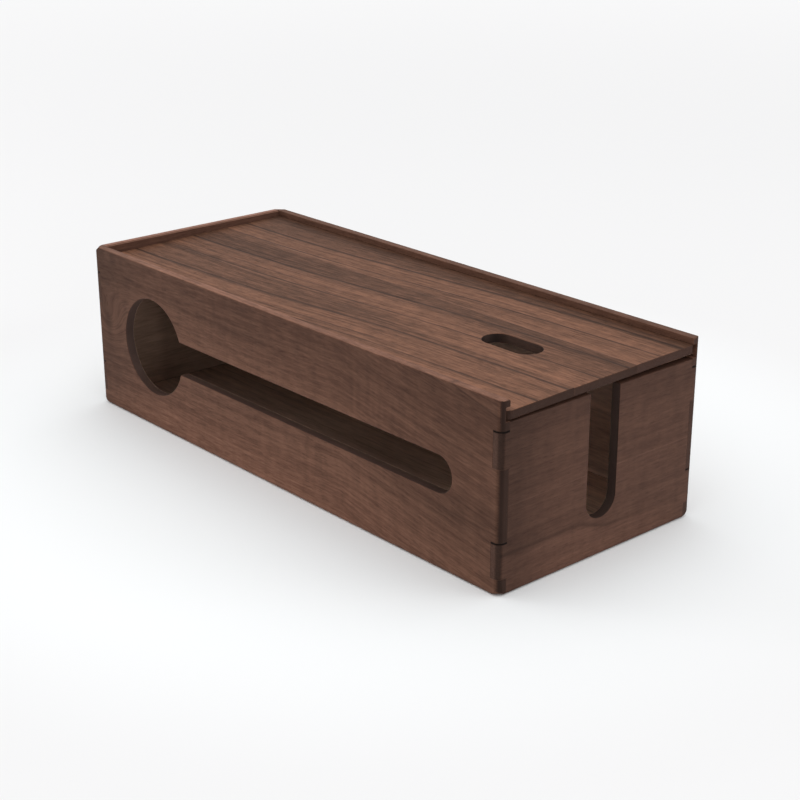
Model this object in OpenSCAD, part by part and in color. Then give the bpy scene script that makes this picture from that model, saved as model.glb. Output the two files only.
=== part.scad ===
// Walnut box with a sliding lid that hides a power strip and its cables.
// X runs along the box, from the closed left end to the right end where the lid slides out.
// Y runs from the front, with the keyhole opening, to the back. Z is up from the table.

/* [Box] */
// Outside length of the box
box_l = 420; // [300:1:600]
// Outside width of the box, front to back
box_w = 170; // [130:1:260]
// Outside height of the box
box_h = 120; // [100:1:200]
// Thickness of the side and end boards
board_t = 6.5; // [5.5:0.5:10]
// Radius of the four upright corners
corner_r = 4; // [2:0.5:5]
// Radius of the outer top edges
edge_r = 1.25; // [0.5:0.25:1.5]
// Radius of the outer bottom edges
foot_r = 2.5; // [0.5:0.25:3]
// Radius of the four bottom corners, seen from the corner
foot_corner_r = 6; // [3:0.5:7]
// Radius of the two top corners at the closed left end, seen from the corner
head_corner_r = 5; // [3:0.5:6]
// Chamfer round every opening and along the inner rim
ease = 0.5; // [0.2:0.1:1]

/* [Finger joints] */
// Height of the long sides' lowest finger
foot_h = 10.8; // [6:0.2:16]
// Height of each tab of an end board
tab_h = 22.6; // [10:0.2:28]
// Height of the end board's shoulder above its upper tab
shoulder_h = 5.1; // [3:0.1:12]
// Open line that the joint shows above each tab
joint_gap = 0.4; // [0.1:0.1:0.8]

/* [Lid] */
// Thickness of the lid
lid_t = 6; // [4:0.5:9]
// How much higher the lid's back edge lies than its front edge
lid_rise = 2.5; // [0:0.1:4]
// Clearance between the lid and the groove, above and below
lid_play = 0.15; // [0.1:0.05:0.5]
// Clearance between the lid's edges and the bottom of the grooves
lid_side_gap = 0.5; // [0.3:0.1:1]
// Clearance between the closed lid and the left end
lid_stop_gap = 0.2; // [0.1:0.05:0.5]
// Thickness of the lip above each groove
lip_t = 4; // [3:0.5:8]
// Depth of the grooves for the lid and for the bottom panel
groove_d = 3.2; // [2:0.1:4]
// Drop from the groove's floor to the top of the right end board
end_drop = 0.5; // [0.2:0.1:2]
// Radius of the lid's two outer corners
lid_corner_r = 5.5; // [2:0.5:8]
// Chamfer under the lid's outer end
lid_chamfer = 1.2; // [0.5:0.1:2]

/* [Finger hole] */
// Length of the finger hole in the lid
finger_l = 45; // [30:1:60]
// Width of the finger hole
finger_w = 20; // [16:1:30]
// Distance from the lid's outer end to the middle of the finger hole
finger_in = 77; // [45:1:110]

/* [Keyhole opening] */
// Diameter of the round part that a plug passes through
plug_d = 70; // [45:1:72]
// Distance from the left end to the middle of the round part
plug_in = 72; // [60:0.5:110]
// Height of the opening's centre line
keyhole_z = 61; // [50:0.5:64]
// Height of the long slot for the cables
slot_h = 24; // [12:1:34]
// Distance from the right end to the end of the long slot
slot_in = 39.5; // [25:0.5:80]

/* [End slot] */
// Width of the upright slot in the right end
end_slot_w = 25; // [14:1:40]
// Height of the slot's lowest point
end_slot_z = 25; // [15:0.5:45]
// Height of the right end's lower stave
end_stave_h = 56; // [50:0.5:66]

/* [Bottom panel] */
// Thickness of the bottom panel
bottom_t = 4; // [3:0.5:6]
// Height of the panel's underside above the table
bottom_z = 2; // [1:0.5:4]
// Clearance of the panel in its grooves
bottom_play = 0.2; // [0.1:0.05:0.4]

/* [Hidden] */
$fn = 96;
over = 1;
inner_x = box_l / 2 - board_t;
inner_y = box_w / 2 - board_t;
groove_h = lid_t + lid_rise + 2 * lid_play;
groove_top = box_h - lip_t;
groove_z = groove_top - groove_h;
end_h = groove_z - end_drop;
tab_zs = [foot_h, end_h - shoulder_h - tab_h];
lid_w = 2 * (inner_y + groove_d - lid_side_gap);
lid_left = -inner_x + lid_stop_gap;
lid_l = box_l / 2 - lid_left;
lid_tilt = asin(lid_rise / lid_w);
stave_w = lid_w / 3;
finger_x = box_l / 2 - finger_in;
plug_x = -box_l / 2 + plug_in;
slot_x = box_l / 2 - slot_in - slot_h / 2;
corner_l = (box_l + box_w) / sqrt(2) - 2 * corner_r * (sqrt(2) - 1) + 0.4;
head_in = corner_r * (sqrt(2) - 1) - 0.2 + head_corner_r;
head_z = 0.1 - head_corner_r;
side_colour = [0.30, 0.215, 0.18];
end_colour = [0.28, 0.205, 0.175];
lid_colour = [0.42, 0.30, 0.24];
panel_colour = [0.36, 0.27, 0.21];

// Flat outline of a rectangle with round corners
module round_outline(l, w, r) {
    square([l - 2 * r, w], center = true);
    square([l, w - 2 * r], center = true);
    for (sx = [-1, 1], sy = [-1, 1])
        translate([sx * (l / 2 - r), sy * (w / 2 - r)])
            circle(r = r);
}

// Upright section of the box, w wide, with the radii of its bottom and top edges
module section(w) {
    translate([-w / 2, foot_r])
        square([w, box_h - foot_r - edge_r]);
    translate([-w / 2 + foot_r, 0])
        square([w - 2 * foot_r, foot_r + over]);
    translate([-w / 2 + edge_r, box_h - edge_r - over])
        square([w - 2 * edge_r, edge_r + over]);
    for (s = [-1, 1]) {
        translate([s * (w / 2 - foot_r), foot_r])
            circle(r = foot_r);
        translate([s * (w / 2 - edge_r), box_h - edge_r])
            circle(r = edge_r);
    }
}

// Flat outline with a half circle at each end
module stadium(l, w) {
    square([l - w, w], center = true);
    for (s = [-1, 1])
        translate([s * (l - w) / 2, 0])
            circle(d = w);
}

// The outer form of the box with its upright corners and softer top and bottom edges
module edged_form() {
    intersection() {
        linear_extrude(box_h)
            round_outline(box_l, box_w, corner_r);
        rotate([90, 0, 90])
            linear_extrude(box_l + 2 * over, center = true)
                section(box_w);
        rotate([90, 0, 0])
            linear_extrude(box_w + 2 * over, center = true)
                section(box_l);
    }
}

// Bar that rounds two opposite bottom corners of the box
module corner_bar(turn) {
    rotate([90, 0, 90 + turn])
        linear_extrude(2 * box_l, center = true) {
            translate([-corner_l / 2, foot_corner_r])
                square([corner_l, box_h]);
            translate([-corner_l / 2 + foot_corner_r, 0])
                square([corner_l - 2 * foot_corner_r, foot_corner_r + over]);
            for (s = [-1, 1])
                translate([s * (corner_l / 2 - foot_corner_r), foot_corner_r])
                    circle(r = foot_corner_r);
        }
}

// The finished outer form of the box, with its four bottom corners rounded
module outer_form() {
    intersection() {
        edged_form();
        corner_bar(45);
        corner_bar(-45);
    }
}

// Space that the bottom panel's groove takes from the boards
module bottom_groove() {
    reach_x = inner_x + groove_d;
    reach_y = inner_y + groove_d;
    translate([-reach_x, -reach_y, bottom_z - bottom_play])
        cube([2 * reach_x, 2 * reach_y, bottom_t + 2 * bottom_play]);
}

// Space that the lid's grooves take: stopped at the left end, open at the right
module lid_groove() {
    reach_y = inner_y + groove_d;
    translate([-inner_x, -reach_y, groove_z])
        cube([inner_x + box_l / 2 + over, 2 * reach_y, groove_h]);
}

// Notches in a long side for the tabs of both end boards
module tab_notches() {
    for (z = tab_zs, sx = [-1, 1])
        translate([sx * (inner_x + (board_t + over) / 2), 0, z + tab_h / 2])
            cube([board_t + over, box_w + 2 * over, tab_h], center = true);
}

// A wedge that chamfers one straight edge: it lies along X, its corner on the edge
module edge_wedge(l, c) {
    rotate([90, 0, 90])
        translate([0, 0, -l / 2])
            linear_extrude(l)
                polygon([[-c, 0], [0, -c], [over, -c], [over, over], [-c, over]]);
}

// Round hole along Z with a chamfer at its mouth, which is at z = 0
module mouth_cone(r) {
    translate([0, 0, -ease])
        cylinder(r1 = r, r2 = r + ease, h = ease);
    cylinder(r = r + ease, h = over);
}

// Stadium-shaped hole along Z: l long, w wide, from z = -t to 0, chamfered at the top mouth
module stadium_hole(l, w, t) {
    translate([0, 0, -t - over])
        linear_extrude(t + 2 * over)
            stadium(l, w);
    for (s = [-1, 1])
        translate([s * (l - w) / 2, 0, 0])
            mouth_cone(w / 2);
    rotate([90, 0, 90])
        translate([0, 0, -(l - w) / 2])
            linear_extrude(l - w)
                polygon([
                    [-w / 2, -ease],
                    [w / 2, -ease],
                    [w / 2 + ease, 0],
                    [w / 2 + ease, over],
                    [-w / 2 - ease, over],
                    [-w / 2 - ease, 0]
                ]);
}

// Keyhole opening along Z, its outer mouth at z = 0: round part at the origin, slot along +X
module keyhole() {
    run = slot_x - plug_x;
    translate([0, 0, -board_t - over])
        cylinder(d = plug_d, h = board_t + 2 * over);
    mouth_cone(plug_d / 2);
    translate([run / 2, 0, 0])
        stadium_hole(run + slot_h, slot_h, board_t);
}

// Cutter that rounds the top corner of the front side at the closed left end
module head_cut() {
    translate([-box_l / 2, -box_w / 2, box_h])
        rotate([90, 0, 45])
            linear_extrude(4 * head_corner_r, center = true)
                difference() {
                    translate([-over, head_z])
                        square([head_in + over, over - head_z]);
                    translate([head_in, head_z])
                        circle(r = head_corner_r);
                }
}

// A long side without its keyhole, as the front one; the back one is its mirror image
module long_side() {
    difference() {
        intersection() {
            outer_form();
            translate([-box_l / 2, -box_w / 2, 0])
                cube([box_l, board_t, box_h]);
        }
        tab_notches();
        lid_groove();
        bottom_groove();
        translate([board_t / 2, -inner_y, box_h])
            edge_wedge(box_l - board_t + over, ease);
        head_cut();
    }
}

module front_side() {
    color(side_colour)
        difference() {
            long_side();
            translate([plug_x, -box_w / 2, keyhole_z])
                rotate([90, 0, 0])
                    keyhole();
        }
}

module back_side() {
    color(side_colour)
        mirror([0, 1, 0])
            long_side();
}

// An end board of full width, with its two pairs of tabs, from the table up to height h
module end_board(h) {
    intersection() {
        outer_form();
        union() {
            translate([inner_x, -inner_y, 0])
                cube([board_t, 2 * inner_y, h]);
            for (z = tab_zs)
                translate([inner_x, -box_w / 2, z])
                    cube([board_t, box_w, tab_h - joint_gap]);
        }
    }
}

module left_end() {
    color(end_colour)
        difference() {
            mirror([1, 0, 0])
                end_board(box_h);
            bottom_groove();
            translate([-inner_x, 0, box_h])
                rotate([0, 0, 90])
                    edge_wedge(2 * inner_y, ease);
        }
}

// The right end with its upright slot, before it is parted at the glue line
module right_end() {
    slot_bottom = end_slot_z + end_slot_w / 2;
    difference() {
        end_board(end_h);
        bottom_groove();
        translate([box_l / 2, 0, slot_bottom])
            rotate([0, 90, 0])
                translate([-box_h / 2, 0, 0])
                    stadium_hole(box_h + end_slot_w, end_slot_w, board_t);
        translate([box_l / 2, 0, end_h])
            rotate([0, 0, -90])
                edge_wedge(box_w, ease);
    }
}

module right_end_lower() {
    color(end_colour)
        intersection() {
            right_end();
            translate([0, -box_w, 0])
                cube([box_l, 2 * box_w, end_stave_h]);
        }
}

module right_end_upper() {
    color(end_colour)
        intersection() {
            right_end();
            translate([0, -box_w, end_stave_h])
                cube([box_l, 2 * box_w, box_h]);
        }
}

module bottom_panel() {
    reach_x = inner_x + groove_d - bottom_play;
    reach_y = inner_y + groove_d - bottom_play;
    color(panel_colour)
        translate([-reach_x, -reach_y, bottom_z])
            cube([2 * reach_x, 2 * reach_y, bottom_t]);
}

// Outline of the lid: square at its inner end, round corners at its outer end
module lid_outline() {
    translate([0, -lid_w / 2])
        square([lid_l - lid_corner_r, lid_w]);
    translate([0, -lid_w / 2 + lid_corner_r])
        square([lid_l, lid_w - 2 * lid_corner_r]);
    for (s = [-1, 1])
        translate([lid_l - lid_corner_r, s * (lid_w / 2 - lid_corner_r)])
            circle(r = lid_corner_r);
}

// The whole lid as a flat board, its underside at z = 0 and its outer end at x = lid_l
module flat_lid() {
    difference() {
        linear_extrude(lid_t)
            lid_outline();
        translate([lid_l, 0, 0])
            rotate([180, 0, 0])
                rotate([0, 0, -90])
                    edge_wedge(lid_w + 2 * over, lid_chamfer);
        translate([lid_l, 0, lid_t])
            rotate([0, 0, -90])
                edge_wedge(lid_w + 2 * over, ease);
        translate([lid_l - finger_in, 0, lid_t])
            stadium_hole(finger_l, finger_w, lid_t);
    }
}

// One of the lid's three glued staves, where it lies in the closed box; k is -1, 0 or 1
module lid_stave(k) {
    color(lid_colour)
        translate([lid_left, 0, groove_z + lid_play + lid_rise / 2])
            rotate([lid_tilt, 0, 0])
                intersection() {
                    flat_lid();
                    translate([-over, (k - 0.5) * stave_w, -over])
                        cube([lid_l + 2 * over, stave_w, lid_t + 2 * over]);
                }
}

module lid_stave_front() {
    lid_stave(-1);
}

module lid_stave_middle() {
    lid_stave(0);
}

module lid_stave_back() {
    lid_stave(1);
}

front_side();
back_side();
left_end();
right_end_lower();
right_end_upper();
bottom_panel();
lid_stave_front();
lid_stave_middle();
lid_stave_back();
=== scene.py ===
import math

import bmesh
import bpy
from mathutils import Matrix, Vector


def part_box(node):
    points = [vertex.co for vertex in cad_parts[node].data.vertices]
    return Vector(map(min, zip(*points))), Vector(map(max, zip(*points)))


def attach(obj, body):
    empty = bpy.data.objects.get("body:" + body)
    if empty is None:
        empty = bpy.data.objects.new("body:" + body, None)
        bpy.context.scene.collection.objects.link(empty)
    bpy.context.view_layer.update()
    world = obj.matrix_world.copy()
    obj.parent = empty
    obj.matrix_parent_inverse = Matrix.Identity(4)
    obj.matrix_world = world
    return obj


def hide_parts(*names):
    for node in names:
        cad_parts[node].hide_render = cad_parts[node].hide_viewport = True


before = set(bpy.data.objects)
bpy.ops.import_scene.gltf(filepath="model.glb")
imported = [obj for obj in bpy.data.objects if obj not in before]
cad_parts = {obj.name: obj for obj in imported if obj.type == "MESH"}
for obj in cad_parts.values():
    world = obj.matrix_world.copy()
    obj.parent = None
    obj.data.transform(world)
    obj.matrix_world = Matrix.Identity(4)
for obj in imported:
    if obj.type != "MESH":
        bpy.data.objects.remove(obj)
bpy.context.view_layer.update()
scene = bpy.context.scene
scene.view_settings.view_transform = "Standard"
print("frame loaded:", len(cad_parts), "nodes")


# small helpers for shader trees

def addNode(tree, kind, **settings):
    made = tree.nodes.new(kind)
    for key, value in settings.items():
        setattr(made, key, value)
    return made


def feed(tree, socket, value):
    # links a socket, or sets a plain value
    if isinstance(value, bpy.types.NodeSocket):
        tree.links.new(value, socket)
    else:
        socket.default_value = value


def calc(tree, operation, *values):
    made = addNode(tree, "ShaderNodeMath", operation=operation)
    for socket, value in zip(made.inputs, values):
        feed(tree, socket, value)
    return made.outputs[0]


def vectorCalc(tree, operation, *values):
    made = addNode(tree, "ShaderNodeVectorMath", operation=operation)
    for socket, value in zip(made.inputs, values):
        feed(tree, socket, value)
    return made.outputs["Value"] if operation in ("DOT_PRODUCT", "LENGTH") else made.outputs[0]


def separate(tree, vector):
    made = addNode(tree, "ShaderNodeSeparateXYZ")
    feed(tree, made.inputs[0], vector)
    return made.outputs


def noise(tree, vector, recipe):
    # recipe: marks per metre along the three axes, detail, roughness
    scale, detail, roughness = recipe
    stretched = vectorCalc(tree, "MULTIPLY", vector, scale)
    made = addNode(tree, "ShaderNodeTexNoise")
    feed(tree, made.inputs["Vector"], stretched)
    made.inputs["Scale"].default_value = 1.0
    made.inputs["Detail"].default_value = detail
    made.inputs["Roughness"].default_value = roughness
    return made.outputs[0]


def ramp(tree, value, low, high, outLow=0.0, outHigh=1.0, smooth=True):
    made = addNode(tree, "ShaderNodeMapRange", interpolation_type="SMOOTHSTEP" if smooth else "LINEAR")
    for name, given in zip(("Value", "From Min", "From Max", "To Min", "To Max"),
                           (value, low, high, outLow, outHigh)):
        feed(tree, made.inputs[name], given)
    return made.outputs[0]


def scaledRamp(tree, tone, value, *span, smooth=True):
    # the tone times what the span gives for the value
    return calc(tree, "MULTIPLY", tone, ramp(tree, value, *span, smooth=smooth))


def mixValue(tree, factor, first, second):
    made = addNode(tree, "ShaderNodeMix", data_type="FLOAT")
    feed(tree, made.inputs[0], factor)
    feed(tree, made.inputs[2], first)
    feed(tree, made.inputs[3], second)
    return made.outputs[0]


def mixColour(tree, factor, first, second, kind="MIX"):
    made = addNode(tree, "ShaderNodeMix", data_type="RGBA", blend_type=kind)
    feed(tree, made.inputs[0], factor)
    feed(tree, made.inputs[6], first)
    feed(tree, made.inputs[7], second)
    return made.outputs[2]


def tinted(tree, colour, factor):
    # a colour made lighter or darker
    grey = addNode(tree, "ShaderNodeCombineColor")
    for socket in grey.inputs:
        feed(tree, socket, factor)
    return mixColour(tree, 1.0, colour, grey.outputs[0], "MULTIPLY")


def shiftAcross(tree, vector, amount):
    # moves the grain pattern sideways
    made = addNode(tree, "ShaderNodeCombineXYZ")
    feed(tree, made.inputs[1], amount)
    return vectorCalc(tree, "ADD", vector, made.outputs[0])


def newGroup(name, inputs, outputs):
    # inputs and outputs: labels by kind of socket
    tree = bpy.data.node_groups.new(name, "ShaderNodeTree")
    for direction, sockets in (("INPUT", inputs), ("OUTPUT", outputs)):
        for kind, labels in sockets.items():
            for label in labels.split():
                tree.interface.new_socket(label, in_out=direction, socket_type="NodeSocket" + kind)
    start = tree.nodes.new("NodeGroupInput")
    end = tree.nodes.new("NodeGroupOutput")
    return tree, start.outputs, end.inputs


def useGroup(tree, group, **values):
    made = addNode(tree, "ShaderNodeGroup", node_tree=group)
    for label, value in values.items():
        feed(tree, made.inputs[label], value)
    return made.outputs


# camera and studio, as in the photograph

camera = {
    "eye": (0.7982, -0.6768, 0.4405),
    "azimuth": 48.65,
    "elevation": 20.97,
    "lens": 73.73,
    "sensor": 36,
    "clip": (0.01, 50),
}
studio = {
    "floorHalf": 8,
    "floorNearPaintedLight": (0.940, 0.957, 0.965, 1),
    "floorAroundPaintedShade": (0.862, 0.862, 0.867, 1),
    "floorFar": (0.945, 0.945, 0.950, 1),
    "nearRing": (0.24, 0.42),  # distances over which the near tone gives way
    "farRing": (0.9, 3.2),
    "floorRoughness": 0.9,
    "backgroundWhite": 0.985,
    "skyLow": 0.18,
    "skyHigh": 1.62,
    "skyPower": 1.5,
}
lamps = {
    "leftSoftbox": {"place": (-1.5, -1.2, 0.85), "aim": (0, 0, 0.05), "width": 0.8, "power": 5},
    "rightSoftbox": {"place": (1.5, 1.1, 0.85), "aim": (0.1, 0, 0.05), "width": 0.8, "power": 3},
    "lowSoftbox": {"place": (2.0, -0.95, 0.45), "aim": (0, 0, 0.06), "width": 0.5, "power": 3.4},
}


def makeCamera():
    data = bpy.data.cameras.new("photoCamera")
    data.sensor_width = camera["sensor"]
    data.lens = camera["lens"]
    data.clip_start, data.clip_end = camera["clip"]
    made = bpy.data.objects.new("photoCamera", data)
    scene.collection.objects.link(made)
    a = math.radians(camera["azimuth"])
    e = math.radians(camera["elevation"])
    back = Vector((math.sin(a) * math.cos(e), -math.cos(a) * math.cos(e), math.sin(e)))
    made.location = camera["eye"]
    made.rotation_mode = "QUATERNION"
    made.rotation_quaternion = (-back).to_track_quat("-Z", "Y")
    scene.camera = made


def makeFloor():
    # near the box the floor is a little paler, painted light that lifts its shadow, darker in a ring
    # around it as painted shade, and it pales again far away
    mesh = bpy.data.meshes.new("studioFloor")
    half = studio["floorHalf"]
    corners = [(-half, -half, 0), (half, -half, 0), (half, half, 0), (-half, half, 0)]
    mesh.from_pydata(corners, [], [(0, 1, 2, 3)])
    made = bpy.data.objects.new("studioFloor", mesh)
    scene.collection.objects.link(made)
    material = bpy.data.materials.new("studioFloor")
    material.use_nodes = True
    tree = material.node_tree
    shader = tree.nodes["Principled BSDF"]
    distance = vectorCalc(tree, "LENGTH", addNode(tree, "ShaderNodeTexCoord").outputs["Object"])
    leaving = ramp(tree, distance, *studio["nearRing"])
    colour = mixColour(tree, leaving, studio["floorNearPaintedLight"], studio["floorAroundPaintedShade"])
    colour = mixColour(tree, ramp(tree, distance, *studio["farRing"]), colour, studio["floorFar"])
    feed(tree, shader.inputs["Base Color"], colour)
    shader.inputs["Roughness"].default_value = studio["floorRoughness"]
    shader.inputs["Specular IOR Level"].default_value = 0.0
    mesh.materials.append(material)


def makeSky():
    # light that grows towards the top, and plain white wherever it is seen or mirrored
    world = bpy.data.worlds.new("studioSky")
    scene.world = world
    world.use_nodes = True
    tree = world.node_tree
    background = tree.nodes["Background"]
    up = separate(tree, addNode(tree, "ShaderNodeTexCoord").outputs["Generated"])[2]
    height = calc(tree, "POWER", calc(tree, "MAXIMUM", up, 0.0), studio["skyPower"])
    glow = ramp(tree, height, 0.0, 1.0, studio["skyLow"], studio["skyHigh"], smooth=False)
    path = addNode(tree, "ShaderNodeLightPath").outputs
    seen = calc(tree, "MAXIMUM", path["Is Camera Ray"], path["Is Glossy Ray"])
    seen = calc(tree, "MAXIMUM", seen, path["Is Transmission Ray"])
    strength = mixValue(tree, seen, glow, studio["backgroundWhite"])
    feed(tree, background.inputs["Strength"], strength)
    background.inputs["Color"].default_value = (1, 1, 1, 1)


def makeLamp(name, place, aim, width, power):
    data = bpy.data.lights.new(name, "AREA")
    data.shape = "RECTANGLE"
    data.size = width
    data.size_y = width
    data.energy = power
    made = bpy.data.objects.new(name, data)
    scene.collection.objects.link(made)
    made.location = place
    made.rotation_mode = "QUATERNION"
    made.rotation_quaternion = (Vector(aim) - Vector(place)).to_track_quat("-Z", "Y")


makeCamera()
makeFloor()
makeSky()
for lampName, lamp in lamps.items():
    makeLamp(lampName, **lamp)
print("camera, floor and lights ready")


# walnut: grain, end grain, rubbed edges with a painted highlight, and the finish that joins them
# a span gives where a change starts and ends, then the result at its start and end, if not 0 and 1

grainMarks = {
    "sway": ((4, 9, 9), 1.0, 0.5),
    "swayBy": 0.004,
    "broad": ((2.0, 38, 38), 1.0, 0.5),
    "broadShare": 0.17,
    "streaks": ((4.0, 230, 230), 3.0, 0.6),
    "streaksShare": 0.36,
    "fine": ((65, 620, 620), 3.0, 0.7),
    "fineShare": 0.47,
    "toneSpan": (0.37, 0.63),
    "ringsPerMetre": 95.0,
    "ringWander": ((1.3, 34, 34), 2.0, 0.5),
    "ringWanderBy": 3.4,
    "latewoodSpan": (0.74, 0.96),
    "ringEndSpan": (0.96, 1.0, 1.0, 0.0),
    "lines": ((3.2, 80, 80), 1.0, 0.5),
    "lineSpan": (0.45, 0.68),
    "flecks": ((150, 900, 900), 1.0, 0.5),
    "fleckSpan": (0.55, 0.72),
    "pores": ((190, 2600, 2600), 1.0, 0.5),
    "poreSpan": (0.58, 0.72),
    "mottle": ((120, 45, 45), 2.0, 0.55),
    "mottleSpan": (0.3, 0.7, -1.0, 1.0),
}
endGrainMarks = {
    "alongShare": 0.05,  # how little the pattern changes along the board
    "bow": 3.0,
    "ringWander": ((60, 60, 60), 1.0, 0.5),
    "ringWanderBy": 0.003,
    "ringsPerMetre": 420.0,
    "ringShare": 0.3,
    "grit": ((900, 900, 900), 2.0, 0.6),
    "gritShare": 0.7,
    "pores": ((2600, 2600, 2600), 0.0, 0.5),
    "poreSpan": (0.6, 0.7),
}
wearAndHighlightMarks = {
    "width": 0.0012,
    "samples": 4,
    "turnSpan": (0.99, 0.86),
    "patches": ((60, 60, 60), 2.0, 0.5),
    "patchSpan": (0.3, 0.7, 0.35, 1.0),
}
finish = {
    "fleckDark": 0.26,
    "poreDark": 0.26,
    "endPoreDark": 0.5,
    "wearAndHighlightPale": 0.22,
    "cutBrowned": 0.7,
    "mottle": (0.09, 1.04),  # share, then what is added
    "bareTone": (0.56, 0.67),
    "bareLines": -0.6,
    "roughness": (-0.08, 0.64),
    "poreRough": 0.12,
    "rubbedRough": -0.12,
    "endRough": 0.1,
    "toneHeight": 0.4,
    "poreHeight": -0.6,
    "fleckHeight": -0.3,
    "endToneHeight": 0.3,
    "gloss": 0.09,
    "bumpStrength": 0.35,
    "bumpDepth": 0.00015,
}


def makeGrainGroup():
    # Vector: x along the grain, y across the face, z into the board, in metres
    marks = grainMarks
    tree, given, out = newGroup("walnutGrain", {"Vector": "Vector", "Float": "Contrast"},
                                {"Float": "Tone Lines Flecks Pores Mottle"})
    sway = noise(tree, given["Vector"], marks["sway"])
    sway = calc(tree, "MULTIPLY", calc(tree, "SUBTRACT", sway, 0.5), marks["swayBy"])
    place = shiftAcross(tree, given["Vector"], sway)
    broad = noise(tree, place, marks["broad"])
    streaks = noise(tree, place, marks["streaks"])
    fine = noise(tree, place, marks["fine"])
    tone = calc(tree, "MULTIPLY", broad, marks["broadShare"])
    tone = calc(tree, "MULTIPLY_ADD", streaks, marks["streaksShare"], tone)
    tone = calc(tree, "MULTIPLY_ADD", fine, marks["fineShare"], tone)
    tone = calc(tree, "MULTIPLY_ADD", calc(tree, "SUBTRACT", tone, 0.5), given["Contrast"], 0.5)
    feed(tree, out["Tone"], ramp(tree, tone, *marks["toneSpan"], smooth=False))
    rings = calc(tree, "MULTIPLY", separate(tree, place)[1], marks["ringsPerMetre"])
    wander = noise(tree, place, marks["ringWander"])
    rings = calc(tree, "MULTIPLY_ADD", wander, marks["ringWanderBy"], rings)
    rings = calc(tree, "FRACT", rings)
    line = scaledRamp(tree, ramp(tree, rings, *marks["latewoodSpan"]), rings, *marks["ringEndSpan"])
    line = scaledRamp(tree, line, noise(tree, place, marks["lines"]), *marks["lineSpan"])
    feed(tree, out["Lines"], line)
    flecks = noise(tree, place, marks["flecks"])
    feed(tree, out["Flecks"], ramp(tree, flecks, *marks["fleckSpan"]))
    pores = noise(tree, place, marks["pores"])
    feed(tree, out["Pores"], ramp(tree, pores, *marks["poreSpan"]))
    mottle = noise(tree, place, marks["mottle"])
    feed(tree, out["Mottle"], ramp(tree, mottle, *marks["mottleSpan"], smooth=False))
    return tree


def makeEndGrainGroup():
    # the board cut across: the pattern depends on y and z
    marks = endGrainMarks
    tree, given, out = newGroup("walnutEndGrain", {"Vector": "Vector"}, {"Float": "Tone Pores"})
    flat = vectorCalc(tree, "MULTIPLY", given["Vector"], (marks["alongShare"], 1, 1))
    split = separate(tree, flat)
    bow = calc(tree, "MULTIPLY", calc(tree, "MULTIPLY", split[1], split[1]), marks["bow"])
    wander = calc(tree, "MULTIPLY", noise(tree, flat, marks["ringWander"]), marks["ringWanderBy"])
    rings = calc(tree, "ADD", calc(tree, "ADD", split[2], bow), wander)
    rings = calc(tree, "FRACT", calc(tree, "MULTIPLY", rings, marks["ringsPerMetre"]))
    rings = calc(tree, "MULTIPLY", rings, marks["ringShare"])
    grit = noise(tree, flat, marks["grit"])
    feed(tree, out["Tone"], calc(tree, "MULTIPLY_ADD", grit, marks["gritShare"], rings))
    pores = noise(tree, flat, marks["pores"])
    feed(tree, out["Pores"], ramp(tree, pores, *marks["poreSpan"]))
    return tree


def makeWearAndHighlightGroup():
    # rubbed edges, paler also as a painted highlight: where the rounded normal leaves the true one
    tree, given, out = newGroup("wearAndHighlightEdges", {"Float": "Width"}, {"Float": "Mask"})
    bevel = addNode(tree, "ShaderNodeBevel", samples=wearAndHighlightMarks["samples"])
    feed(tree, bevel.inputs["Radius"], given["Width"])
    normal = addNode(tree, "ShaderNodeNewGeometry").outputs["Normal"]
    here = addNode(tree, "ShaderNodeTexCoord").outputs["Object"]
    turn = vectorCalc(tree, "DOT_PRODUCT", bevel.outputs[0], normal)
    mask = ramp(tree, turn, *wearAndHighlightMarks["turnSpan"])
    patches = noise(tree, here, wearAndHighlightMarks["patches"])
    feed(tree, out["Mask"], scaledRamp(tree, mask, patches, *wearAndHighlightMarks["patchSpan"]))
    return tree


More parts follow.
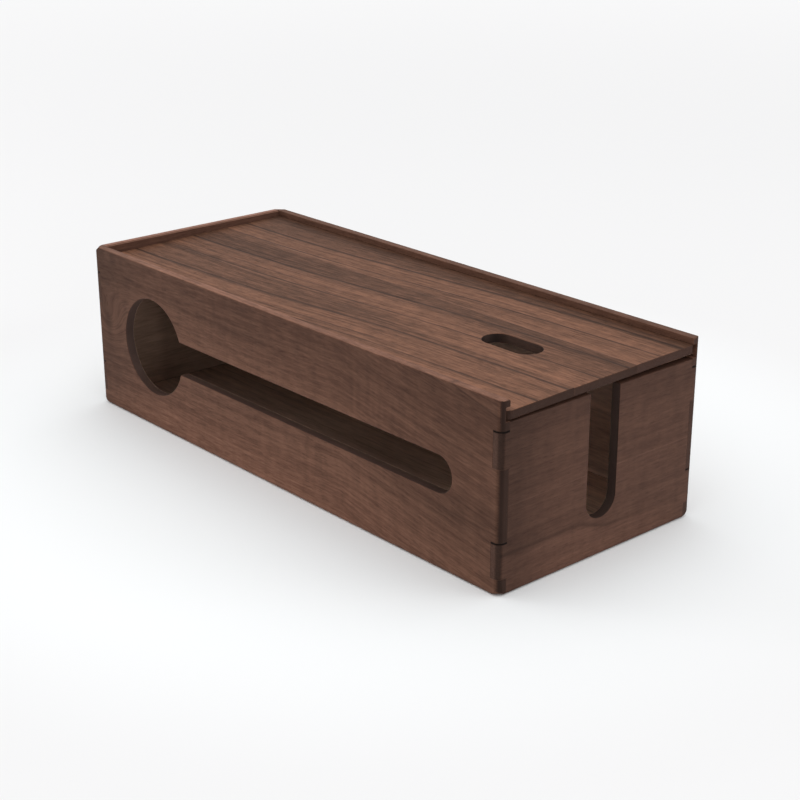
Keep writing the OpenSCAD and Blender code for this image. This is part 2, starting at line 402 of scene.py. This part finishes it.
def makeFinishGroup():
    # joins long grain, end grain, bare inside wood, rubbed edges with a painted highlight and painted
    # shade into a finish
    tree, given, out = newGroup("walnutFinish", {
        "Float": "Tone Lines Flecks Pores Mottle EndTone EndPores EndCut Wear Bare Dark Browned Shade",
        "Color": "Pale Deep Vein EndPale BareWood CutBrown",
    }, {"Color": "Color", "Float": "Roughness Height"})
    colour = mixColour(tree, given["Tone"], given["Deep"], given["Pale"])
    colour = mixColour(tree, given["Lines"], colour, given["Vein"])
    dots = calc(tree, "MULTIPLY", given["Pores"], finish["poreDark"])
    dots = calc(tree, "MULTIPLY_ADD", given["Flecks"], finish["fleckDark"], dots)
    colour = mixColour(tree, dots, colour, given["Vein"])
    endColour = mixColour(tree, given["EndTone"], given["Vein"], given["EndPale"])
    endDots = calc(tree, "MULTIPLY", given["EndPores"], finish["endPoreDark"])
    endColour = mixColour(tree, endDots, endColour, given["Vein"])
    colour = mixColour(tree, given["EndCut"], colour, endColour)
    # edges made paler: partly rubbed wood, partly a painted highlight
    wornAndHighlit = calc(tree, "MULTIPLY", given["Wear"], finish["wearAndHighlightPale"])
    colour = mixColour(tree, wornAndHighlit, colour, given["Pale"])
    browned = calc(tree, "MULTIPLY", given["Browned"], finish["cutBrowned"])
    colour = mixColour(tree, browned, colour, given["CutBrown"])
    flicker = calc(tree, "MULTIPLY_ADD", given["Mottle"], *finish["mottle"])
    factor = calc(tree, "MULTIPLY", flicker, given["Shade"])
    factor = calc(tree, "MULTIPLY", factor, calc(tree, "SUBTRACT", 1.0, given["Dark"]))
    colour = tinted(tree, colour, factor)
    bareTone = calc(tree, "MULTIPLY_ADD", given["Tone"], *finish["bareTone"])
    bareTone = calc(tree, "MULTIPLY_ADD", given["Lines"], finish["bareLines"], bareTone)
    colour = mixColour(tree, given["Bare"], colour, tinted(tree, given["BareWood"], bareTone))
    feed(tree, out["Color"], colour)
    rough = calc(tree, "MULTIPLY_ADD", given["Tone"], *finish["roughness"])
    rough = calc(tree, "MULTIPLY_ADD", given["Pores"], finish["poreRough"], rough)
    rough = calc(tree, "MULTIPLY_ADD", given["Wear"], finish["rubbedRough"], rough)
    rough = calc(tree, "MULTIPLY_ADD", given["EndCut"], finish["endRough"], rough)
    feed(tree, out["Roughness"], rough)
    height = calc(tree, "MULTIPLY", given["Tone"], finish["toneHeight"])
    height = calc(tree, "MULTIPLY_ADD", given["Pores"], finish["poreHeight"], height)
    height = calc(tree, "MULTIPLY_ADD", given["Flecks"], finish["fleckHeight"], height)
    endHeight = calc(tree, "MULTIPLY", given["EndTone"], finish["endToneHeight"])
    endHeight = calc(tree, "MULTIPLY_ADD", given["EndPores"], finish["poreHeight"], endHeight)
    feed(tree, out["Height"], mixValue(tree, given["EndCut"], height, endHeight))
    return tree


grainGroup = makeGrainGroup()
endGrainGroup = makeEndGrainGroup()
wearAndHighlightGroup = makeWearAndHighlightGroup()
finishGroup = makeFinishGroup()
print("walnut groups ready")


# what every board's material does with its place on the box

places = {
    "inside": (0.2036, 0.0786, 0.1068),  # half length, half width and height of the space inside
    "insideSoft": 0.0002,
    "tabTops": (0.0332, 0.1014),
    "tabLineSpan": (0.0004, 0.0010, 1.0, 0.0),
    "tabLineShadow": 0.8,
    "cornerFrom": (0.2032, 0.0782),
    "cornerSoft": 0.0004,
    "rimSpan": (0.112, 0.113, 1.0),
    "rimFacing": (0.7, 0.95, 1.0),
    "endCutFacing": (0.35, 0.8),
    "cornerFacing": (0.05, 0.5),
    "undersideFacing": (-0.98, -0.9, 1.0, 0.0),
    "wallFacing": (0.5, 0.85, 1.0, 0.0),
    "wallUpward": (0.65, 1.0),
    "wallSoft": 0.0004,
}


def boardVector(tree, along, face, offset):
    # turns object coordinates into the board's own: x along the grain, y across the face, z deep
    parts = separate(tree, addNode(tree, "ShaderNodeTexCoord").outputs["Object"])
    joined = addNode(tree, "ShaderNodeCombineXYZ")
    deep = ({0, 1, 2} - {along, face}).pop()
    for socket, axis in zip(joined.inputs, (along, face, deep)):
        feed(tree, socket, parts[axis])
    return vectorCalc(tree, "ADD", joined.outputs[0], offset), parts


def bareInside(tree, parts):
    # the faces that look into the box keep their raw wood, paler partly as its own colour and partly as
    # painted light for the inside
    mask = 1.0
    away = (calc(tree, "ABSOLUTE", parts[0]), calc(tree, "ABSOLUTE", parts[1]), parts[2])
    for value, edge in zip(away, places["inside"]):
        mask = scaledRamp(tree, mask, value, edge, edge + places["insideSoft"], 1.0, 0.0)
    return mask


def between(tree, value, low, high):
    soft = places["wallSoft"]
    rising = ramp(tree, value, low, low + soft)
    return scaledRamp(tree, rising, value, high - soft, high, 1.0, 0.0)


def jointShadowLine(tree, parts):
    # painted shadow in the open joints above the tabs, seen as dark lines on the upright corners
    total = 0.0
    for height in places["tabTops"]:
        away = calc(tree, "ABSOLUTE", calc(tree, "SUBTRACT", parts[2], height))
        total = calc(tree, "MAXIMUM", total, ramp(tree, away, *places["tabLineSpan"]))
    for value, edge in zip(parts, places["cornerFrom"]):
        out = calc(tree, "ABSOLUTE", value)
        total = scaledRamp(tree, total, out, edge, edge + places["cornerSoft"])
    return total


def cutWall(tree, parts, facing, opening):
    # walls of an opening, and how much darker they are, the more so where they face up: partly the cut's
    # own darkness, partly painted shade and light that change with the way the wall faces
    mask = ramp(tree, calc(tree, "ABSOLUTE", facing[opening["through"]]), *places["wallFacing"])
    for value, (low, high) in zip(parts, opening["room"]):
        mask = calc(tree, "MULTIPLY", mask, between(tree, value, low, high))
    return mask, scaledRamp(tree, mask, facing[2], *places["wallUpward"], *opening["dark"])


def darkPlaces(tree, look, parts, facing):
    # painted shade on the rounded upright corners and along the open joints, darker cut walls, and which
    # of them are browned
    # painted shade where the normal turns between two sides of the box
    turned = calc(tree, "ABSOLUTE", calc(tree, "MULTIPLY", facing[0], facing[1]))
    dark = calc(tree, "MULTIPLY", ramp(tree, turned, *places["cornerFacing"]), look["cornerPaintedShade"])
    line = calc(tree, "MULTIPLY", jointShadowLine(tree, parts), places["tabLineShadow"])
    dark = calc(tree, "MAXIMUM", dark, line)
    browned = 0.0
    for opening in look.get("openings", ()):
        wall, darker = cutWall(tree, parts, facing, opening)
        dark = calc(tree, "ADD", dark, darker)
        browned = calc(tree, "ADD", browned, wall)
    return dark, browned


def boardShade(tree, look, place, parts, facing, cut):
    # the board's lights and darks, partly its own tone and partly painted light and shade, with painted
    # light on the upward rim, and none of it on cut ends
    shade = look["shade"](tree, place, parts) if "shade" in look else 1.0
    rim = ramp(tree, parts[2], *places["rimSpan"], look.get("rimPaintedLight", 1.0))
    rim = ramp(tree, facing[2], *places["rimFacing"], rim)
    shade = calc(tree, "SUBTRACT", calc(tree, "MULTIPLY", rim, shade), 1.0)
    return calc(tree, "MULTIPLY_ADD", shade, calc(tree, "SUBTRACT", 1.0, cut), 1.0)


def makeWood(name, look):
    material = bpy.data.materials.new(name)
    material.use_nodes = True
    tree = material.node_tree
    shader = tree.nodes["Principled BSDF"]
    place, parts = boardVector(tree, look["along"], look["face"], look["offset"])
    if "warp" in look:
        place = look["warp"](tree, place, parts)
    grain = useGroup(tree, grainGroup, Vector=place, Contrast=look["contrast"])
    endGrain = useGroup(tree, endGrainGroup, Vector=place)
    wearAndSheen = useGroup(tree, wearAndHighlightGroup, Width=wearAndHighlightMarks["width"])["Mask"]
    facing = separate(tree, addNode(tree, "ShaderNodeNewGeometry").outputs["Normal"])
    cut = ramp(tree, calc(tree, "ABSOLUTE", facing[look["along"]]), *places["endCutFacing"])
    dark, browned = darkPlaces(tree, look, parts, facing)
    lines = calc(tree, "MULTIPLY", grain["Lines"], look["lineStrength"])
    if "veins" in look:
        lines = calc(tree, "MAXIMUM", lines, look["veins"](tree, place, parts))
    shade = boardShade(tree, look, place, parts, facing, cut)
    if look["slot"] == "lid_wood":
        bare = ramp(tree, facing[2], *places["undersideFacing"])
    else:
        bare = bareInside(tree, parts)
    raw = look.get("bare", bareWoodWithPaintedLight)
    # painted light and shade on the raw inside, along one axis
    if "paintedInsideLightAndShade" in look:
        raw = tinted(tree, raw, ramp(tree, parts[look["paintedInsideLightAndShade"]["axis"]], *look["paintedInsideLightAndShade"]["span"]))
    finished = useGroup(tree, finishGroup, Tone=grain["Tone"], Lines=lines, Flecks=grain["Flecks"],
                        Pores=grain["Pores"], Mottle=grain["Mottle"], EndTone=endGrain["Tone"],
                        EndPores=endGrain["Pores"], EndCut=cut, Wear=wearAndSheen, Bare=bare, Dark=dark,
                        Browned=browned, Shade=shade, Pale=look["pale"], Deep=look["deep"],
                        Vein=woodVein, EndPale=look["endPale"], BareWood=raw, CutBrown=cutBrown)
    feed(tree, shader.inputs["Base Color"], finished["Color"])
    feed(tree, shader.inputs["Roughness"], finished["Roughness"])
    shader.inputs["Specular IOR Level"].default_value = finish["gloss"]
    bump = addNode(tree, "ShaderNodeBump")
    bump.inputs["Strength"].default_value = finish["bumpStrength"]
    bump.inputs["Distance"].default_value = finish["bumpDepth"]
    feed(tree, bump.inputs["Height"], finished["Height"])
    feed(tree, shader.inputs["Normal"], bump.outputs[0])
    return material


# the boards

easing = {
    "mergeDistance": 1e-6,
    "flatAngle": math.radians(0.6),
    "edgeAngle": math.radians(60),
    "width": 0.0003,
    "segments": 2,
    "shadeAngle": math.radians(50),
    "flatWeight": 80,
}


def softBoard(nodeName, pieceName, body, look, skip=None):
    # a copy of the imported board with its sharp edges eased, for the light to catch
    shape = bmesh.new()
    shape.from_mesh(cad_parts[nodeName].data)
    bmesh.ops.remove_doubles(shape, verts=shape.verts, dist=easing["mergeDistance"])
    bmesh.ops.dissolve_limit(shape, angle_limit=easing["flatAngle"], verts=shape.verts,
                             edges=shape.edges)
    sharp = []
    for edge in shape.edges:
        if len(edge.link_faces) != 2:
            continue
        if edge.calc_face_angle(0) < easing["edgeAngle"]:
            continue
        if skip and all(skip(v.co) for v in edge.verts):
            continue
        sharp.append(edge)
    bmesh.ops.bevel(shape, geom=sharp, offset=easing["width"], offset_type="OFFSET",
                    segments=easing["segments"], profile=0.5, affect="EDGES", clamp_overlap=True)
    mesh = bpy.data.meshes.new(pieceName)
    shape.to_mesh(mesh)
    shape.free()
    made = bpy.data.objects.new(pieceName, mesh)
    scene.collection.objects.link(made)
    mesh.shade_smooth()
    mesh.set_sharp_from_angle(angle=easing["shadeAngle"])
    weighted = made.modifiers.new("flatFaces", "WEIGHTED_NORMAL")
    weighted.weight = easing["flatWeight"]
    weighted.keep_sharp = True
    mesh.materials.append(makeWood(pieceName, look))
    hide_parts(nodeName)
    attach(made, body)
    print("board", pieceName, len(mesh.polygons), "faces")


# raw inside wood, paler partly as its own colour and partly as painted light
bareWoodWithPaintedLight = (0.40, 0.265, 0.195, 1)
woodVein = (0.034, 0.017, 0.012, 1)
cutBrown = (0.080, 0.052, 0.044, 1)
cutPale = (0.050, 0.0265, 0.0200, 1)
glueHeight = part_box("right_end_lower")[1].z

# the upright boards' colours are darker than the lid's, partly their own tone and partly painted shade
# for upright faces
sideLook = {
    "slot": "side_wood",
    "along": 0,
    "face": 2,
    "pale": (0.163, 0.079, 0.051, 1),
    "deep": (0.094, 0.044, 0.029, 1),
    "endPale": cutPale,
    "contrast": 1.0,
    "lineStrength": 0.22,
    "cornerPaintedShade": 0.3,
}
endLook = {
    "slot": "end_wood",
    "along": 1,
    "face": 2,
    "pale": (0.132, 0.065, 0.044, 1),
    "deep": (0.078, 0.038, 0.027, 1),
    "endPale": (0.130, 0.070, 0.052, 1),
    "contrast": 0.85,
    "lineStrength": 0.12,
    "cornerPaintedShade": 0.55,
}


# lid staves: pale before a dark growth line, deeper behind it, a second line in the pale zone

lidFigure = {
    "bendHalf": 0.115,
    "bendRise": -0.0113,
    "sway": ((7, 20, 20), 1.0, 0.5),
    "swayBy": 0.004,
    "behindSpan": (-0.002, 0.001, 1.0, 0.80),
    "recoverSpan": (0.004, 0.028, 1.0, 1.06),
    "glowSpan": (-0.032, -0.020),
    "glowEndSpan": (-0.014, -0.003, 1.0, 0.0),
    "glow": 0.10,
    "leftwardShadeAndToneSpan": (-0.21, 0.12, 0.86, 1.06),
    "backRimShadeSpan": (0.056, 0.074, 1.0, 0.60),
    "frontRimLightSpan": (-0.074, -0.060, 1.40, 1.0),
    "leanAcross": (-0.014, 0.006),
    "leanAlong": (0.0, 0.12),
    "linePatches": ((9, 60, 60), 2.0, 0.5),
    "linePatchSpan": (0.3, 0.65, 0.7, 1.0),
    "lineWidths": (0.0020, 0.0015),
    "lineStrengths": (0.88, 0.86),
    "lineBefore": -1.4,  # in line widths
    "lineAfter": 0.7,
}
fingerHole = {"through": 2, "room": ((0.10, 0.17), (-0.012, 0.012), (0.0, 0.12)), "dark": (0.3, 0.3)}


def lidBend(tree, parts):
    # the lid's grain runs level at both ends and climbs towards the back in between
    rise = calc(tree, "TANH", calc(tree, "DIVIDE", parts[0], lidFigure["bendHalf"]))
    return calc(tree, "MULTIPLY", rise, lidFigure["bendRise"])


def lidWarp(tree, place, parts):
    return shiftAcross(tree, place, lidBend(tree, parts))


def lidDrift(tree, place, parts):
    # place across the lid, as the bent and swaying grain lines see it
    drifted = calc(tree, "ADD", parts[1], lidBend(tree, parts))
    sway = calc(tree, "SUBTRACT", noise(tree, place, lidFigure["sway"]), 0.5)
    return calc(tree, "MULTIPLY_ADD", sway, lidFigure["swayBy"], drifted)


def staveFigure(lineAt, secondAt, bright, lean=0.0):
    # lean: how much brighter the front half of the stave is than the back half, towards the right
    figure = lidFigure

    def shade(tree, place, parts):
        behind = calc(tree, "SUBTRACT", lidDrift(tree, place, parts), lineAt)
        tone = ramp(tree, behind, *figure["behindSpan"])
        tone = scaledRamp(tree, tone, behind, *figure["recoverSpan"])
        glow = ramp(tree, behind, *figure["glowSpan"])
        glow = scaledRamp(tree, glow, behind, *figure["glowEndSpan"])
        tone = calc(tree, "MULTIPLY", tone, calc(tree, "MULTIPLY_ADD", glow, figure["glow"], 1.0))
        # darker towards the left end, partly the wood's tone and partly painted shade; darker along the
        # back rim as painted shade, with some of the wood's tone, and paler along the front rim as
        # painted light
        tone = scaledRamp(tree, tone, parts[0], *figure["leftwardShadeAndToneSpan"], smooth=False)
        tone = scaledRamp(tree, tone, parts[1], *figure["backRimShadeSpan"])
        tone = scaledRamp(tree, tone, parts[1], *figure["frontRimLightSpan"])
        side = ramp(tree, parts[1], *figure["leanAcross"], lean, -lean)
        side = scaledRamp(tree, side, parts[0], *figure["leanAlong"])
        tone = calc(tree, "MULTIPLY", tone, calc(tree, "ADD", side, 1.0))
        return calc(tree, "MULTIPLY", tone, bright)

    def veins(tree, place, parts):
        drifted = lidDrift(tree, place, parts)
        patchy = ramp(tree, noise(tree, place, figure["linePatches"]), *figure["linePatchSpan"])
        total = 0.0
        for at, width, strength in zip((lineAt, secondAt), figure["lineWidths"],
                                       figure["lineStrengths"]):
            gone = calc(tree, "SUBTRACT", drifted, at)
            line = ramp(tree, gone, figure["lineBefore"] * width, 0.0)
            line = scaledRamp(tree, line, gone, 0.0, figure["lineAfter"] * width, 1.0, 0.0)
            total = calc(tree, "MAXIMUM", total, calc(tree, "MULTIPLY", line, strength))
        return calc(tree, "MULTIPLY", total, patchy)
    return {"shade": shade, "veins": veins}


lidLook = {
    "slot": "lid_wood",
    "along": 0,
    "face": 1,
    "pale": (0.225, 0.102, 0.0590, 1),
    "deep": (0.104, 0.0495, 0.0303, 1),
    "endPale": cutPale,
    "contrast": 1.4,
    "lineStrength": 0.5,
    "cornerPaintedShade": 0.3,
    "openings": [fingerHole],
    "warp": lidWarp,
}
lidFront = dict(lidLook, offset=(31.4, 6.2, 4.1), **staveFigure(-0.042, -0.067, 0.97))
lidMiddle = dict(lidLook, offset=(37.8, 7.9, 5.2), endPale=(0.062, 0.0330, 0.0245, 1),
                 **staveFigure(0.009, -0.0160, 0.91, lean=0.16))
lidBack = dict(lidLook, offset=(43.3, 9.4, 6.6), endPale=(0.082, 0.0430, 0.0330, 1),
               **staveFigure(0.0575, 0.038, 0.96))


# front board: a knot near the left end, grain that falls at the right end, two curly patches

frontFigure = {
    "knot": (-0.196, 0.067),
    "swirlReach": (0.022, 0.017),
    "swirl": 0.022,
    "knotReach": (0.004, 0.010),
    "knotDark": -0.35,
    "slopeFrom": 0.07,
    "slope": 0.16,
    # foot, head, left and right spans: partly painted light and shade, partly the board's own tone
    "footSpan": (0.008, 0.042, 1.48, 0.985),
    "middleSpan": (0.048, 0.062, 1.0, 1.065),
    "headSpan": (0.070, 0.112, 1.0, 0.81),
    "leftSpan": (-0.205, -0.12, 0.70, 1.0),
    "rightSpan": (0.05, 0.20, 1.0),
    "rightDeepSpan": (0.03, 0.08, 0.70, 0.90),
    "band": ((-0.05, 0.099), (0.06, 0.004)),  # centre, then reach
    "bandDark": -0.16,
    "ripple": ((170, 14, 14), 1.0, 0.5),
    "rippleGain": 0.7,
    "curls": (((0.105, 0.090), (0.045, 0.018)), ((0.06, 0.035), (0.03, 0.014))),
    # x, z, slope, width and strength of each dark streak
    "streaks": ((0.19, 0.1145, -0.26, 0.0011, 0.5), (0.19, 0.0395, -0.05, 0.0013, 0.3)),
    "streakFade": (0.05, 0.02),
}
# dark: how much darker the walls are, facing sideways and facing up; the change between them is painted
# shade, and below zero it is painted light
cableSlot = {"through": 1, "room": ((-0.104, 0.19), (-0.09, -0.0786), (0.018, 0.104)),
             "dark": (0.0, 0.29)}
plugHole = {"through": 1, "room": ((-0.19, -0.104), (-0.09, -0.0786), (0.018, 0.104)),
            "dark": (-0.3, 0.35)}


def around(tree, parts, centre, reach):
    # 1 at a point of a side board, fading out around it
    dx = calc(tree, "DIVIDE", calc(tree, "SUBTRACT", parts[0], centre[0]), reach[0])
    dz = calc(tree, "DIVIDE", calc(tree, "SUBTRACT", parts[2], centre[1]), reach[1])
    square = calc(tree, "ADD", calc(tree, "MULTIPLY", dx, dx), calc(tree, "MULTIPLY", dz, dz))
    return calc(tree, "EXPONENT", calc(tree, "MULTIPLY", square, -1.0))


def frontWarp(tree, place, parts):
    figure = frontFigure
    right = calc(tree, "MAXIMUM", calc(tree, "SUBTRACT", parts[0], figure["slopeFrom"]), 0.0)
    fall = calc(tree, "MULTIPLY", right, figure["slope"])
    swirl = around(tree, parts, figure["knot"], figure["swirlReach"])
    swirl = calc(tree, "MULTIPLY", swirl, figure["swirl"])
    return shiftAcross(tree, place, calc(tree, "ADD", fall, swirl))


def frontShade(tree, place, parts):
    figure = frontFigure
    # paler towards the foot as painted bounce light from the floor, darker towards the top and both ends
    # as painted shade, all partly the board's own tone; the knot and curls are the wood's figure
    tone = ramp(tree, parts[2], *figure["footSpan"], smooth=False)
    tone = scaledRamp(tree, tone, parts[2], *figure["middleSpan"])
    tone = scaledRamp(tree, tone, parts[2], *figure["headSpan"])
    tone = scaledRamp(tree, tone, parts[0], *figure["leftSpan"])
    deeper = ramp(tree, parts[2], *figure["rightDeepSpan"])
    tone = scaledRamp(tree, tone, parts[0], *figure["rightSpan"], deeper)
    knot = around(tree, parts, figure["knot"], figure["knotReach"])
    tone = calc(tree, "MULTIPLY", tone, calc(tree, "MULTIPLY_ADD", knot, figure["knotDark"], 1.0))
    band = around(tree, parts, *figure["band"])
    tone = calc(tree, "MULTIPLY", tone, calc(tree, "MULTIPLY_ADD", band, figure["bandDark"], 1.0))
    curl = 0.0
    for centre, reach in figure["curls"]:
        curl = calc(tree, "ADD", curl, around(tree, parts, centre, reach))
    ripple = calc(tree, "SUBTRACT", noise(tree, place, figure["ripple"]), 0.5)
    ripple = calc(tree, "MULTIPLY", ripple, calc(tree, "MULTIPLY", curl, figure["rippleGain"]))
    return calc(tree, "MULTIPLY", tone, calc(tree, "ADD", ripple, 1.0))


def frontVeins(tree, place, parts):
    # two soft dark streaks that run down towards the right end
    total = 0.0
    early, late = frontFigure["streakFade"]
    for x, z, slope, width, strength in frontFigure["streaks"]:
        line = calc(tree, "MULTIPLY_ADD", calc(tree, "SUBTRACT", parts[0], x), slope, z)
        gone = calc(tree, "ABSOLUTE", calc(tree, "SUBTRACT", parts[2], line))
        mark = ramp(tree, gone, 0.0, width, strength, 0.0)
        mark = scaledRamp(tree, mark, parts[0], x - early, x - late)
        total = calc(tree, "MAXIMUM", total, mark)
    return total


frontBoard = dict(sideLook, offset=(3.1, 0.2, 0.0), warp=frontWarp, shade=frontShade, veins=frontVeins,
                  contrast=1.3, rimPaintedLight=2.03, endPale=(0.040, 0.0212, 0.0160, 1),
                  openings=[cableSlot, plugHole])


# right end: a growth line that steps down from left to right, and a glue line at half height

endFigure = {
    "growthSpan": (-0.025, 0.010, 0.0225, 0.0145),
    "growthSway": ((14, 0, 0), 1.0, 0.5),
    "growthSwayBy": 0.005,
    "lineStartSpan": (-0.0008, 0.0006),
    "lineEndSpan": (0.0008, 0.0036, 1.0, 0.0),
    "lineStrengthSpan": (0.0, 0.06, 0.34, 0.12),
    "leftSpan": (-0.085, -0.030, 0.58, 0.94),
    "headSpan": (0.060, 0.104, 1.0, 0.86),
    "footBright": (0.02, 0.07, 1.24, 1.05),
    "footSpan": (-0.003, 0.001),
    "aboveFoot": 0.97,
    "glueSpan": (0.0, 0.0009, 1.22, 1.0),
}
endSlot = {"through": 0, "room": ((0.2036, 0.22), (-0.0135, 0.0135), (0.018, 0.12)), "dark": (0.45, 0.45)}


def aboveGrowth(tree, place, parts):
    growth = ramp(tree, parts[1], *endFigure["growthSpan"])
    sway = noise(tree, place, endFigure["growthSway"])
    growth = calc(tree, "MULTIPLY_ADD", sway, endFigure["growthSwayBy"], growth)
    return calc(tree, "SUBTRACT", parts[2], growth)


def endVeins(tree, place, parts):
    above = aboveGrowth(tree, place, parts)
    line = ramp(tree, above, *endFigure["lineStartSpan"])
    line = scaledRamp(tree, line, above, *endFigure["lineEndSpan"])
    return scaledRamp(tree, line, parts[1], *endFigure["lineStrengthSpan"])


def endShade(tree, place, parts):
    # darker towards the front corner and the top as painted shade, brighter below the growth line, partly
    # the wood and partly painted bounce light from the floor, and thinly pale at the glue line
    tone = ramp(tree, parts[1], *endFigure["leftSpan"])
    tone = scaledRamp(tree, tone, parts[2], *endFigure["headSpan"], smooth=False)
    bright = ramp(tree, parts[1], *endFigure["footBright"])
    above = aboveGrowth(tree, place, parts)
    tone = scaledRamp(tree, tone, above, *endFigure["footSpan"], bright, endFigure["aboveFoot"])
    glue = calc(tree, "ABSOLUTE", calc(tree, "SUBTRACT", parts[2], glueHeight))
    return scaledRamp(tree, tone, glue, *endFigure["glueSpan"])


rightLower = dict(endLook, offset=(14.6, 3.3, 1.9), shade=endShade, veins=endVeins, openings=[endSlot])
rightUpper = dict(rightLower, offset=(19.3, 4.8, 2.9))


# the plainer boards, whose raw inside changes in tone along one axis, as painted light and shade

# the back board's raw inside is paler as painted light, and darker under the lid as painted shade
backBoard = dict(sideLook, offset=(7.7, 1.3, 0.4), endPale=(0.092, 0.050, 0.039, 1),
                 bare=(0.49, 0.335, 0.260, 1),
                 paintedInsideLightAndShade={"axis": 2, "span": (0.052, 0.080, 1.2, 0.85)})  # deeper under the lid
# the left board is paler as painted light on its rim, and its raw inside darker away from the plug hole
# as a painted shadow
leftBoard = dict(endLook, offset=(11.2, 2.1, 0.9), pale=(0.155, 0.076, 0.052, 1),
                 deep=(0.092, 0.045, 0.031, 1), rimPaintedLight=2.15,
                 paintedInsideLightAndShade={"axis": 1, "span": (-0.042, -0.030, 1.0, 0.78)})  # deeper away from the plug
# the bottom's raw inside is paler towards the slotted end: a painted pool of light from the slot
bottomBoard = dict(sideLook, slot="panel_wood", face=1, offset=(23.9, 5.6, 3.3), lineStrength=0.3,
                   cornerPaintedShade=0.0,
                   paintedInsideLightAndShade={"axis": 0, "span": (0.06, 0.15, 0.95, 1.6)})  # paler towards the slotted end

glueSeams = {"lidHalf": 0.02707, "lidSoft": 0.0006, "endSoft": 0.00005}


def onLidGlue(co):
    return abs(abs(co.y) - glueSeams["lidHalf"]) < glueSeams["lidSoft"]


def onEndGlue(co):
    return abs(co.z - glueHeight) < glueSeams["endSoft"]


softBoard("front_side", "frontBoard", "box", frontBoard)
softBoard("back_side", "backBoard", "box", backBoard)
softBoard("left_end", "leftBoard", "box", leftBoard)
softBoard("right_end_lower", "rightLowerStave", "box", rightLower, skip=onEndGlue)
softBoard("right_end_upper", "rightUpperStave", "box", rightUpper, skip=onEndGlue)
softBoard("bottom_panel", "bottomBoard", "box", bottomBoard)
softBoard("lid_stave_front", "lidFrontStave", "lid", lidFront, skip=onLidGlue)
softBoard("lid_stave_middle", "lidMiddleStave", "lid", lidMiddle, skip=onLidGlue)
softBoard("lid_stave_back", "lidBackStave", "lid", lidBack, skip=onLidGlue)
